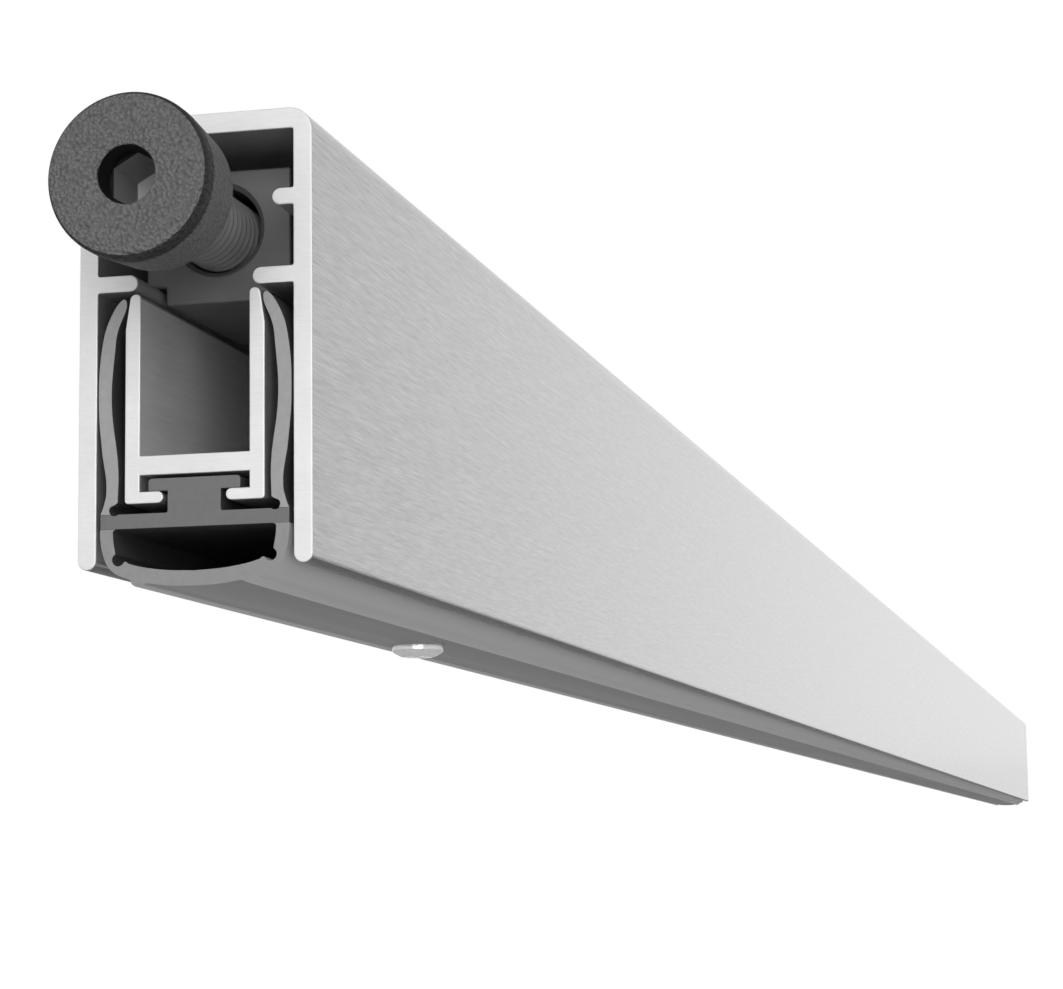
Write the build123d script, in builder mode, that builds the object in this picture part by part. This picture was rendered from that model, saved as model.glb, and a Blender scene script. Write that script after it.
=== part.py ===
"""Automatic door bottom seal, a drop-down seal for a groove in a door's lower edge.

Frame: X runs along the seal with the plunger at the -X end, Z points up, and the
origin is the centre of the housing's flat top face. Sizes are in millimetres.
Heights named *_level are measured up from the housing's lower edge.
"""

import os

from build123d import *

# Housing, an inverted U with two pairs of ribs inside
length = 830.0
housing_width = 15.0
housing_height = 28.0
wall = 1.2
roof = 1.3
corner_radius = 1.5
rib_thickness = 1.04
long_rib_level = 17.12
long_rib_gap = 7.4
short_rib_level = 21.95
short_rib_gap = 9.88

# Carrier, the inner channel that drops with the seal
carrier_width = 8.96
carrier_wall = 0.98
carrier_height = 12.97
carrier_top_gap = 0.19
carrier_corner = 0.2
carrier_taper = 0.33
carrier_taper_height = 2.2
web_thickness = 1.21
slot_height = 0.99
hook_thickness = 0.73
hook_gap = 4.0

# Seal, one soft extrusion with a head in the carrier's slot, two side lips and a bulb
seal_head_width = 5.88
seal_head_thickness = 0.77
seal_stem_width = 3.4
seal_plate_gap = 0.61
seal_plate_thickness = 0.91
seal_side_gap = 0.27
lip_gap = 0.12
lip_tip_gap = 0.24
lip_height = 13.23
lip_pocket_radius = 0.33
lip_pocket_inset = 0.9
lip_pocket_rise = 0.24
bulb_drop = 3.6
bulb_wall = 0.92
bulb_side_wall = 0.83
hollow_neck_inset = 0.17
hollow_neck_rise = 1.13
hollow_floor_inset = 0.82
hollow_floor_rise = 0.6
groove_radius = 0.4
groove_inset = 0.36
groove_rise = 0.82
nib_radius = 0.43
nib_drop = 0.03
nib_spacing = 7.2
belly_rise = 0.26

# Plunger, a knob on a screw that sets how far the seal drops
axis_rise = 3.29
screw_radius = 2.5
screw_length = 50.0
key_size = 3.0
key_depth = 3.8
knob_radius = 4.92
knob_length = 5.65
knob_stop_gap = 0.8
knob_edge = 0.5
knob_disc = 2.35
collar_radius = 4.55
groove_depth = 0.75
key_hole_radius = 1.75
key_hole_depth = 1.95
press_stroke = 5.0

# Blocks in the upper chamber
guide_setback = 4.25
guide_length = 14.0
guide_front_length = 6.0
guide_front_drop = 1.28
guide_side_gap = 0.2
guide_clearance = 0.4
guide_hole_lift = 0.24
tongue_side_gap = 0.25
guide_tongue_drop = 0.1
run_gap = 0.2
thread_clearance = 0.05
thread_block_start = 28.0
thread_block_length = 30.0
thread_block_cover = 1.2
block_edge = 0.4

# Push bar and the two leaf springs that turn its travel into the drop
bar_width = 6.0
bar_thickness = 2.0
bar_gap = 0.3
bar_grip = 10.0
spring_inset = 207.5
spring_chord = 120.0
spring_tab = 5.0
spring_width = 6.0
spring_thickness = 0.5
spring_bow = 1.8
anchor_length = 20.0
slider_length = 24.0
slider_cover = 1.0
saddle_length = 16.0
saddle_side_gap = 0.2

# Rivets, pins and the screw that locks the seal in the carrier
roof_rivet_radius = 1.5
roof_rivet_head = 2.5
leaf_rivet_radius = 1.2
leaf_rivet_head = 2.0
leaf_rivet_head_height = 0.6
leaf_rivet_depth = 2.2
pin_radius = 1.0
web_rivet_head = 1.8
lock_screw_inset = 50.5
lock_screw_radius = 1.1
lock_screw_length = 9.5
lock_head_radius = 2.0
lock_head_height = 1.6
lock_head_side = 0.95
lock_head_sink = 0.72

# Places that follow from the sizes above
bottom = -housing_height
near_end = -length / 2
ceiling = -roof
inner_half = housing_width / 2 - wall
long_rib = bottom + long_rib_level
chamber_floor = long_rib + rib_thickness
short_rib = bottom + short_rib_level
tip_radius = rib_thickness / 2
axis = chamber_floor + axis_rise
guide_hole_top = axis + guide_hole_lift + screw_radius + guide_clearance
carrier_half = carrier_width / 2
carrier_inner = carrier_half - carrier_wall
carrier_top = long_rib - carrier_top_gap
carrier_bottom = carrier_top - carrier_height
web_bottom = carrier_bottom + hook_thickness + slot_height
web_top = web_bottom + web_thickness
tongue_half = long_rib_gap / 2 - tongue_side_gap
block_half = short_rib_gap / 2 - guide_side_gap
run_half = block_half - run_gap
bar_low = axis - bar_thickness / 2
bar_high = axis + bar_thickness / 2
bar_start = near_end + thread_block_start + thread_block_length - bar_grip
bar_end = spring_inset - spring_chord / 2 + slider_length / 2
saddle_top = long_rib - spring_bow - spring_thickness
spring_centres = {"front": -spring_inset, "rear": spring_inset}


def slab(half_width, low, high, mode=Mode.ADD):
    """Add or cut a rectangle in a cross-section, centred across the housing."""
    with Locations((0, (low + high) / 2)):
        Rectangle(2 * half_width, high - low, mode=mode)


def post(x, low, high, radius, mode=Mode.ADD):
    """Add or cut a vertical cylinder at station x."""
    with Locations((x, 0, (low + high) / 2)):
        Cylinder(radius, high - low, mode=mode)


def cone(x, low, high, low_radius, high_radius, mode=Mode.ADD):
    """Add or cut a vertical cone at station x."""
    with Locations((x, 0, (low + high) / 2)):
        Cone(low_radius, high_radius, high - low, mode=mode)


def save(part, name):
    """Label one finished piece and write it."""
    part.label = name
    export_step(part, f"parts/{name}.step")


os.makedirs("parts", exist_ok=True)

# Housing: walls with rounded lower edges, a roof, and ribs with rounded tips
with BuildPart() as housing:
    with BuildSketch(Plane.YZ.offset(near_end)):
        with Locations((0, (bottom + wall / 2) / 2)):
            outside = Rectangle(housing_width, housing_height - wall / 2)
        fillet(outside.vertices().group_by(Axis.Y)[-1], corner_radius)
        with Locations((0, (bottom + ceiling) / 2)):
            Rectangle(2 * inner_half, housing_height - roof, mode=Mode.SUBTRACT)
        for side in (-1, 1):
            with Locations((side * (housing_width - wall) / 2, bottom + wall / 2)):
                Circle(wall / 2)
        for level, gap in ((long_rib, long_rib_gap), (short_rib, short_rib_gap)):
            reach = inner_half + wall / 2 - gap / 2 - tip_radius
            for side in (-1, 1):
                with Locations((side * (gap / 2 + tip_radius + reach / 2), level + tip_radius)):
                    Rectangle(reach, rib_thickness)
                with Locations((side * (gap / 2 + tip_radius), level + tip_radius)):
                    Circle(tip_radius)
    extrude(amount=length)
    rivet_stations = [near_end + guide_setback + (guide_front_length + guide_length) / 2]
    rivet_stations += [centre + spring_chord / 2 for centre in spring_centres.values()]
    for x in rivet_stations:
        cone(x, ceiling, 0, roof_rivet_radius, roof_rivet_head, mode=Mode.SUBTRACT)
save(housing.part, "housing")

# Carrier: a channel with a slot for the seal's head under its web
with BuildPart() as carrier:
    with BuildSketch(Plane.YZ.offset(near_end)) as section:
        with BuildLine():
            Polyline(
                (0, web_top),
                (carrier_inner, web_top),
                (carrier_inner, carrier_top),
                (carrier_half - carrier_taper, carrier_top),
                (carrier_half, carrier_top - carrier_taper_height),
                (carrier_half, carrier_bottom),
                (hook_gap / 2 + hook_thickness / 2, carrier_bottom),
                (hook_gap / 2 + hook_thickness / 2, carrier_bottom + hook_thickness),
                (carrier_inner, carrier_bottom + hook_thickness),
                (carrier_inner, web_bottom),
                (0, web_bottom),
                close=True,
            )
        make_face()
        rims = section.vertices().group_by(Axis.Y)[-1]
        fillet(rims, (carrier_wall - carrier_taper) * 0.45)
        lower_corner = section.vertices().group_by(Axis.Y)[0].sort_by(Axis.X)[-1]
        fillet(lower_corner, carrier_corner)
        with Locations((hook_gap / 2 + hook_thickness / 2, carrier_bottom + hook_thickness / 2)):
            Circle(hook_thickness / 2)
        mirror(about=Plane.YZ)
    extrude(amount=length)
    post(near_end + lock_screw_inset, web_bottom, web_top, lock_screw_radius, mode=Mode.SUBTRACT)
    for centre in spring_centres.values():
        cone(centre, web_bottom, web_top, web_rivet_head, pin_radius, mode=Mode.SUBTRACT)
save(carrier.part, "carrier")

# Seal: slot head, stem and plate, two side lips that bow out to the housing, and a hollow bulb
plate_top = carrier_bottom - seal_plate_gap
plate_low = plate_top - seal_plate_thickness
seal_half = inner_half - seal_side_gap
head_low = carrier_bottom + hook_thickness
lip_out = inner_half - lip_gap
lip_tip = carrier_half - carrier_taper + lip_tip_gap
lip_top = plate_top + lip_height
bulb_low = plate_low - bulb_drop
nib_level = bulb_low + nib_radius - nib_drop
floor_level = bulb_low + bulb_wall
hollow_half = seal_half - bulb_side_wall

with BuildPart() as seal:
    with BuildSketch(Plane.YZ.offset(near_end)):
        with Locations((0, head_low + seal_head_thickness / 2)):
            RectangleRounded(seal_head_width, seal_head_thickness, seal_head_thickness * 0.4)
        with Locations((0, (head_low + plate_top) / 2)):
            Rectangle(seal_stem_width, head_low - plate_top + seal_head_thickness)
        with Locations((0, (plate_top + plate_low) / 2)):
            RectangleRounded(2 * seal_half, seal_plate_thickness, seal_plate_thickness * 0.2)
        with BuildLine():
            outer = Spline(
                (seal_half, plate_top - 0.2),
                (seal_half - 0.17, plate_top + 0.4),
                (seal_half - 0.37, plate_top + 1.3),
                (lip_out - 0.22, plate_top + 4.0),
                (lip_out, plate_top + 6.9),
                (lip_out - 0.22, plate_top + 10.5),
                (lip_out - 0.6, plate_top + 11.9),
                (lip_tip + 0.33, lip_top),
            )
            tip = ThreePointArc(outer @ 1, (lip_tip + 0.19, lip_top + 0.05), (lip_tip, lip_top - 0.15))
            inner = Spline(
                tip @ 1,
                (lip_out - 1.18, plate_top + 11.2),
                (lip_out - 1.04, plate_top + 10.1),
                (lip_out - 0.84, plate_top + 6.9),
                (lip_out - 1.3, plate_top + 2.7),
                (lip_out - 1.3, plate_top + 0.75),
            )
            foot = Line(inner @ 1, (seal_half - 0.7, plate_top + 0.35))
            root = Line(foot @ 1, (seal_half - 0.7, plate_top - 0.2))
            Line(root @ 1, outer @ 0)
        make_face()
        with BuildLine():
            bulb_side = Spline(
                (seal_half, plate_low + 0.1),
                (seal_half - 0.24, plate_low - 1.7),
                (seal_half - 0.7, plate_low - 2.5),
                (nib_spacing / 2 + nib_radius + 0.2, bulb_low + 0.51),
                tangents=[(0, -1), (-1, -0.35)],
            )
            nib_line = Line(bulb_side @ 1, (nib_spacing / 2 - nib_radius - 0.1, bulb_low + belly_rise))
            belly_radius = ((nib_line @ 1).X ** 2 + belly_rise**2) / (2 * belly_rise)
            RadiusArc(nib_line @ 1, (0, bulb_low), belly_radius)
            Polyline((0, bulb_low), (0, plate_low + 0.1), bulb_side @ 0)
        make_face()
        with Locations((nib_spacing / 2, nib_level)):
            Circle(nib_radius)
        mirror(about=Plane.YZ)
        with BuildLine():
            hollow_floor = ThreePointArc(
                (hollow_floor_inset - hollow_half, floor_level + hollow_floor_rise),
                (0, floor_level),
                (hollow_half - hollow_floor_inset, floor_level + hollow_floor_rise),
            )
            Polyline(
                hollow_floor @ 1,
                (hollow_half - hollow_neck_inset, floor_level + hollow_neck_rise),
                (hollow_half, plate_low),
                (-hollow_half, plate_low),
                (hollow_neck_inset - hollow_half, floor_level + hollow_neck_rise),
                hollow_floor @ 0,
            )
        make_face(mode=Mode.SUBTRACT)
        for side in (-1, 1):
            with Locations((side * (hollow_half - groove_inset), floor_level + groove_rise)):
                Circle(groove_radius, mode=Mode.SUBTRACT)
            with Locations((side * (seal_half - lip_pocket_inset), plate_top + lip_pocket_rise)):
                Circle(lip_pocket_radius, mode=Mode.SUBTRACT)
    extrude(amount=length)
    lock_x = near_end + lock_screw_inset
    lock_seat = bulb_low + lock_head_sink
    post(lock_x, lock_seat, head_low + seal_head_thickness, lock_screw_radius, mode=Mode.SUBTRACT)
    post(lock_x, bulb_low - nib_radius, lock_seat, lock_head_radius, mode=Mode.SUBTRACT)
save(seal.part, "seal")

# Seal lock screw: pan head under the bulb, shank through the seal into the carrier's web
with BuildPart() as lock_screw:
    post(lock_x, lock_seat, lock_seat + lock_screw_length - lock_screw_radius, lock_screw_radius)
    cone(
        lock_x,
        lock_seat + lock_screw_length - lock_screw_radius,
        lock_seat + lock_screw_length,
        lock_screw_radius,
        lock_screw_radius * 0.2,
    )
    post(lock_x, lock_seat - lock_head_height, lock_seat, lock_head_radius)
    rim = lock_screw.faces().sort_by(Axis.Z)[0].edges()
    fillet(rim, lock_head_height - lock_head_side)
    with BuildSketch(Plane.XY.offset(lock_seat - lock_head_height)):
        with Locations((lock_x, 0)):
            Rectangle(lock_head_radius, lock_head_radius * 0.22)
            Rectangle(lock_head_radius * 0.22, lock_head_radius)
    extrude(amount=lock_head_side, mode=Mode.SUBTRACT)
save(lock_screw.part, "seal_lock_screw")

# Guide block: bears the plunger's screw, and its rear boss is riveted under the roof
guide_x = near_end + guide_setback
guide_rivet_x = rivet_stations[0]
with BuildPart() as guide:
    with BuildSketch(Plane.YZ.offset(guide_x)):
        slab(block_half, chamber_floor, ceiling - guide_front_drop)
        slab(tongue_half, long_rib - guide_tongue_drop, chamber_floor)
    extrude(amount=guide_length)
    with BuildSketch(Plane.YZ.offset(guide_x + guide_front_length)):
        slab(block_half, axis, ceiling)
    extrude(amount=guide_length - guide_front_length)
    front = guide.faces().sort_by(Axis.X)[0]
    chamfer(front.outer_wire().edges(), block_edge * 0.5)
    with BuildSketch(Plane.YZ.offset(guide_x)):
        with Locations((0, axis + guide_hole_lift)):
            Circle(screw_radius + guide_clearance)
    extrude(amount=guide_length, mode=Mode.SUBTRACT)
    post(guide_rivet_x, axis + screw_radius, ceiling, roof_rivet_radius, mode=Mode.SUBTRACT)
save(guide.part, "guide_block")

# Roof rivets: countersunk heads flush with the housing's top face
rivet_feet = [guide_hole_top, bar_high + bar_gap, bar_high + bar_gap]
for name, x, foot in zip(("guide", "front", "rear"), rivet_stations, rivet_feet):
    with BuildPart() as roof_rivet:
        post(x, foot, ceiling, roof_rivet_radius)
        cone(x, ceiling, 0, roof_rivet_radius, roof_rivet_head)
    save(roof_rivet.part, f"roof_rivet_{name}")

# Plunger knob: a turned disc and collar with a key hole down to the screw's socket
knob_face = near_end - knob_stop_gap - press_stroke - knob_length
knob_back = knob_face + knob_length
socket_face = knob_face + key_hole_depth
with BuildPart() as knob:
    with BuildSketch(Plane.XZ):
        with BuildLine():
            Polyline(
                (knob_face, axis + key_hole_radius),
                (knob_face, axis + knob_radius),
                (knob_face + knob_disc, axis + knob_radius),
                (knob_face + knob_disc + groove_depth * 0.4, axis + collar_radius - groove_depth * 0.6),
                (knob_face + knob_disc + groove_depth, axis + collar_radius),
                (knob_back, axis + collar_radius),
                (knob_back, axis + screw_radius),
                (socket_face, axis + screw_radius),
                (socket_face, axis + key_hole_radius),
                close=True,
            )
        outline = make_face()
        rim_points = outline.vertices().group_by(Axis.Y)[-1]
        fillet(rim_points.sort_by(Axis.X)[0], knob_edge)
        back_points = outline.vertices().group_by(Axis.X)[-1]
        fillet(back_points.sort_by(Axis.Y)[-1], knob_edge * 0.5)
    revolve(axis=Axis((0, 0, axis), (1, 0, 0)))
save(knob.part, "plunger_knob")

# Plunger screw: hexagon socket in its front end, chamfered tip in the thread block
with BuildPart() as plunger_screw:
    with BuildSketch(Plane.YZ.offset(socket_face)):
        with Locations((0, axis)):
            Circle(screw_radius)
    extrude(amount=screw_length)
    chamfer(plunger_screw.faces().sort_by(Axis.X)[-1].edges(), screw_radius * 0.2)
    with BuildSketch(Plane.YZ.offset(socket_face)):
        with Locations((0, axis)):
            RegularPolygon(key_size / 2, 6, major_radius=False, rotation=30)
    extrude(amount=key_depth, mode=Mode.SUBTRACT)
save(plunger_screw.part, "plunger_screw")

# Thread block: takes the plunger's screw in front and the push bar behind
block_x = near_end + thread_block_start
block_end = block_x + thread_block_length
screw_room = bar_start - block_x
block_low = chamber_floor + run_gap
block_high = axis + screw_radius + thread_block_cover
with BuildPart() as thread_block:
    with BuildSketch(Plane.YZ.offset(block_x)):
        slab(run_half, block_low, block_high)
        with Locations((0, axis)):
            Circle(screw_radius + thread_clearance, mode=Mode.SUBTRACT)
    extrude(amount=screw_room)
    with BuildSketch(Plane.YZ.offset(bar_start)):
        slab(run_half, block_low, block_high)
        slab(bar_width / 2, bar_low, bar_high, mode=Mode.SUBTRACT)
    extrude(amount=bar_grip)
    corners = thread_block.edges().filter_by(Axis.Z).group_by(Axis.X)
    chamfer(corners[0] + corners[-1].sort_by(Axis.Y)[0::3], block_edge)
    post(block_end - bar_grip / 2, block_low, block_high, pin_radius, mode=Mode.SUBTRACT)
save(thread_block.part, "thread_block")

# Push bar: a flat strip pinned to the thread block and to both sliders
slider_spans = {}
for name, centre in spring_centres.items():
    end_x = centre - spring_chord / 2
    slider_spans[name] = (end_x - slider_length / 2, end_x + slider_length / 2)
pin_stations = {"block": block_end - bar_grip / 2}
for name, (start, end) in slider_spans.items():
    pin_stations[name] = start + slider_length / 5
with BuildPart() as push_bar:
    with BuildSketch(Plane.YZ.offset(bar_start)):
        slab(bar_width / 2, bar_low, bar_high)
    extrude(amount=bar_end - bar_start)
    for x in pin_stations.values():
        post(x, bar_low, bar_high, pin_radius, mode=Mode.SUBTRACT)
save(push_bar.part, "push_bar")

slider_high = bar_high + slider_cover
pin_ends = {"block": block_high, "front": slider_high, "rear": slider_high}
for name, x in pin_stations.items():
    with BuildPart() as bar_pin:
        post(x, block_low, pin_ends[name], pin_radius)
    save(bar_pin.part, f"bar_pin_{name}")

for name, centre in spring_centres.items():
    anchor_x = centre + spring_chord / 2
    slider_x = centre - spring_chord / 2
    slider_start, slider_end = slider_spans[name]
    saddle_reach = saddle_length / 2

    # Slider: clamps on the push bar, with a tongue between the long ribs for the spring
    with BuildPart() as slider:
        with BuildSketch(Plane.YZ.offset(slider_start)):
            slab(run_half, block_low, slider_high)
            slab(bar_width / 2, bar_low, bar_high, mode=Mode.SUBTRACT)
        extrude(amount=slider_length)
        with BuildSketch(Plane.YZ.offset(slider_start + block_edge)):
            slab(tongue_half, long_rib, block_low)
        extrude(amount=slider_length - 2 * block_edge)
        post(pin_stations[name], block_low, slider_high, pin_radius, mode=Mode.SUBTRACT)
        post(slider_x, long_rib, long_rib + leaf_rivet_depth, leaf_rivet_radius, mode=Mode.SUBTRACT)
    save(slider.part, f"slider_{name}")

    # Anchor: riveted under the roof, with a channel that the push bar slides through
    anchor_start = anchor_x - anchor_length / 2
    with BuildPart() as anchor:
        with BuildSketch(Plane.YZ.offset(anchor_start)):
            slab(block_half, chamber_floor, ceiling)
            slab(bar_width / 2 + bar_gap, bar_low - bar_gap, bar_high + bar_gap, mode=Mode.SUBTRACT)
        extrude(amount=anchor_length)
        with BuildSketch(Plane.YZ.offset(anchor_start + block_edge)):
            slab(tongue_half, long_rib, chamber_floor)
        extrude(amount=anchor_length - 2 * block_edge)
        post(anchor_x, bar_high + bar_gap, ceiling, roof_rivet_radius, mode=Mode.SUBTRACT)
        post(anchor_x, long_rib, long_rib + leaf_rivet_depth, leaf_rivet_radius, mode=Mode.SUBTRACT)
    save(anchor.part, f"anchor_{name}")

    # Saddle: stands in the carrier's channel and carries the middle of the spring
    with BuildPart() as saddle:
        with BuildSketch(Plane.YZ.offset(centre - saddle_reach)):
            slab(carrier_inner - saddle_side_gap, web_top, saddle_top)
        extrude(amount=saddle_length)
        chamfer(saddle.edges().filter_by(Axis.Z), block_edge)
        post(centre, web_top, saddle_top, pin_radius, mode=Mode.SUBTRACT)
    save(saddle.part, f"saddle_{name}")

    # Leaf spring: flat tabs at its ends and middle, bowed down between them
    tab_end = spring_chord / 2 + spring_tab
    curve_start = spring_chord / 2 - spring_tab
    leaf_top = long_rib
    leaf_mid = saddle_top + spring_thickness
    with BuildPart() as leaf:
        with BuildSketch(Plane.XZ.offset(-spring_width / 2)):
            with BuildLine():
                upper = [
                    Line((centre - tab_end, leaf_top), (centre - curve_start, leaf_top)),
                    Spline(
                        (centre - curve_start, leaf_top),
                        (centre - saddle_reach, leaf_mid),
                        tangents=[(1, 0), (1, 0)],
                    ),
                    Line((centre - saddle_reach, leaf_mid), (centre + saddle_reach, leaf_mid)),
                    Spline(
                        (centre + saddle_reach, leaf_mid),
                        (centre + curve_start, leaf_top),
                        tangents=[(1, 0), (1, 0)],
                    ),
                    Line((centre + curve_start, leaf_top), (centre + tab_end, leaf_top)),
                ]
                for line in upper:
                    add(line.moved(Location((0, -spring_thickness, 0))))
                for x in (centre - tab_end, centre + tab_end):
                    Line((x, leaf_top), (x, leaf_top - spring_thickness))
            make_face()
        extrude(amount=spring_width)
        post(centre, saddle_top, leaf_mid, pin_radius, mode=Mode.SUBTRACT)
        for x in (anchor_x, slider_x):
            post(x, leaf_top - spring_thickness, leaf_top, leaf_rivet_radius, mode=Mode.SUBTRACT)
    save(leaf.part, f"leaf_spring_{name}")

    # Leaf rivets: one through each end tab
    for place, x in (("anchor", anchor_x), ("slider", slider_x)):
        leaf_low = leaf_top - spring_thickness
        with BuildPart() as leaf_rivet:
            post(x, leaf_low, long_rib + leaf_rivet_depth, leaf_rivet_radius)
            post(x, leaf_low - leaf_rivet_head_height, leaf_low, leaf_rivet_head)
            head = leaf_rivet.faces().sort_by(Axis.Z)[0]
            fillet(head.edges(), leaf_rivet_head_height * 0.8)
        save(leaf_rivet.part, f"leaf_rivet_{place}_{name}")

    # Saddle rivet: through the spring, the saddle and the carrier's web
    with BuildPart() as saddle_rivet:
        cone(centre, web_bottom, web_top, web_rivet_head, pin_radius)
        post(centre, web_top, leaf_mid, pin_radius)
        post(centre, leaf_mid, leaf_mid + leaf_rivet_head_height, leaf_rivet_head)
        head = saddle_rivet.faces().sort_by(Axis.Z)[-1]
        fillet(head.edges(), leaf_rivet_head_height * 0.8)
    save(saddle_rivet.part, f"saddle_rivet_{name}")
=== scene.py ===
"""Looks for the automatic door bottom seal, built round its packed CAD frame.

X runs along the seal with the plunger at the low end, Z points up and the origin is the
centre of the housing's flat top face. Sizes here are in metres.
"""

from math import cos, hypot, pi, radians

import bmesh
import bpy
from bpy.props import FloatProperty, FloatVectorProperty, IntProperty, PointerProperty
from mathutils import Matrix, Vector


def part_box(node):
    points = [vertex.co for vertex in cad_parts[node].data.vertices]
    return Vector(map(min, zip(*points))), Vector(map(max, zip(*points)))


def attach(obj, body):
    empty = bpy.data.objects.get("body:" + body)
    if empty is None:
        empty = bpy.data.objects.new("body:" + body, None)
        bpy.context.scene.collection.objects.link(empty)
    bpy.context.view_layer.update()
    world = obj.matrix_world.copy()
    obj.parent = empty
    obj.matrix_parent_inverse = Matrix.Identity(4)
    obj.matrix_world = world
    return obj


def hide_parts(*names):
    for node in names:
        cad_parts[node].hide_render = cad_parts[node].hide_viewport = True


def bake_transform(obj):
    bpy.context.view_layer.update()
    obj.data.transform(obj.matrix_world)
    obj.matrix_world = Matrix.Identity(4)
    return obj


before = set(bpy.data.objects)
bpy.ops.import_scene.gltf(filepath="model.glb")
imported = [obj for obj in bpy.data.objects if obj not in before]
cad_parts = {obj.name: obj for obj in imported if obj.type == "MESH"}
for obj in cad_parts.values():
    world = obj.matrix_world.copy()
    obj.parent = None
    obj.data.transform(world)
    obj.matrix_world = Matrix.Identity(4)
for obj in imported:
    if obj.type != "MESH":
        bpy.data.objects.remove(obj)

bl_info = {
    "name": "Automatic Door Bottom Seal",
    "version": (1, 0, 0),
    "blender": (4, 5, 0),
    "location": "View3D > Sidebar > Door Seal",
    "description": "Models the visible pieces of a drop-down door bottom seal round its CAD frame",
    "category": "Add Mesh",
}

mm = 0.001
tiny = 0.002 * mm

# Places read from the frame
housing_low, housing_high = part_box("housing")
carrier_low, carrier_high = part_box("carrier")
seal_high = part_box("seal")[1]
guide_low, guide_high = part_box("guide_block")
knob_low, knob_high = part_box("plunger_knob")
rod_low, rod_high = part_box("plunger_screw")
lock_low, lock_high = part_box("seal_lock_screw")
near_end = housing_low.x
far_end = housing_high.x
length = far_end - near_end
bottom = housing_low.z
axis = (knob_low.z + knob_high.z) / 2

# Holes that the roof rivets fill, narrow below and wide above
rivet_hole_radius = 1.2 * mm
rivet_mouth_radius = 2.76 * mm
rivet_hole_depth = 2.0 * mm
rivet_hole_middle = -0.7 * mm


def level(name, about, default, **limits):
    """A plain number that a user may change."""
    return FloatProperty(name=name, description=about, default=default, **limits)


def size(name, about, default):
    """A length that a user may change."""
    return level(name, about, default, min=0, unit="LENGTH", subtype="DISTANCE")


def colour(name, about, default):
    """A colour that a user may change."""
    return FloatVectorProperty(name=name, description=about, default=default, size=3, min=0, max=1,
                               subtype="COLOR")


class HousingSettings(bpy.types.PropertyGroup):
    """Sizes of the inverted U and its ribs"""

    wall: size("Wall", "Thickness of the side walls", 1.2 * mm)
    roof: size("Roof", "Thickness of the roof", 1.3 * mm)
    corner: size("Corner radius", "Radius of the two top corners", 1.5 * mm)
    rib: size("Rib thickness", "Thickness of all four ribs", 1.04 * mm)
    long_rib: size("Long rib height", "Underside of the long ribs above the lower edge", 17.12 * mm)
    long_gap: size("Long rib gap", "Gap between the long ribs", 7.4 * mm)
    short_rib: size("Short rib height", "Underside of the short ribs above the lower edge", 21.95 * mm)
    short_gap: size("Short rib gap", "Gap between the short ribs", 9.88 * mm)
    root: size("Root radius", "Radius where walls and ribs meet", 0.12 * mm)
    rim: size("Cut rim", "Width of the broken edge round the cut ends", 0.1 * mm)


class CarrierSettings(bpy.types.PropertyGroup):
    """Sizes of the inner channel that drops with the seal"""

    wall: size("Wall", "Thickness of the side walls", 0.98 * mm)
    taper: size("Taper", "How far the walls lean in at the top", 0.33 * mm)
    taper_height: size("Taper height", "Height of the leaning part", 2.2 * mm)
    web: size("Web", "Thickness of the web", 1.21 * mm)
    slot: size("Slot", "Height of the slot for the seal's head", 0.99 * mm)
    hook: size("Hook", "Thickness of the hooks under the slot", 0.73 * mm)
    hook_gap: size("Hook gap", "Gap between the hooks", 4.0 * mm)
    corner: size("Corner radius", "Radius of the lower outer corners", 0.22 * mm)


class SealSettings(bpy.types.PropertyGroup):
    """Sizes and colours of the co-extruded seal"""

    head_width: size("Head width", "Width of the head in the slot", 5.88 * mm)
    head: size("Head thickness", "Thickness of the head", 0.77 * mm)
    stem: size("Stem width", "Width of the stem between the hooks", 3.4 * mm)
    plate: size("Plate thickness", "Thickness of the plate under the carrier", 0.91 * mm)
    plate_gap: size("Plate gap", "Gap between the carrier and the plate", 0.61 * mm)
    side_gap: size("Side gap", "Gap between the plate and the housing", 0.27 * mm)
    lip_gap: size("Lip gap", "Gap between the lips and the housing", 0.12 * mm)
    bulb: size("Bulb", "Depth of the bulb under the plate", 3.6 * mm)
    bulb_wall: size("Bulb wall", "Thickness of the bulb's floor", 0.92 * mm)
    nib: size("Nib place", "Distance of each nib from the middle", 3.6 * mm)
    core_colour: colour("Core colour", "Head, stem and plate", (0.148, 0.148, 0.151))
    lip_colour: colour("Lip colour", "Side lips", (0.345, 0.345, 0.351))
    bulb_colour: colour("Bulb colour", "Cut end of the bulb", (0.27, 0.27, 0.275))
    # Painted shade: a near black copy of the silicone for the skin of the core and lips and the faces
    # towards the hollow
    painted_skin_shade_colour: colour("Skin shade colour", "Skin of the core, the lips and the hollow", (0.07, 0.07, 0.071))
    # Painted light and shade: this colour is lightened from the nibs outward and darkened across the belly
    # between them
    painted_nib_light_colour: colour("Nib light colour", "Skin of the bulb that meets the floor", (0.47, 0.47, 0.476))


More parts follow.
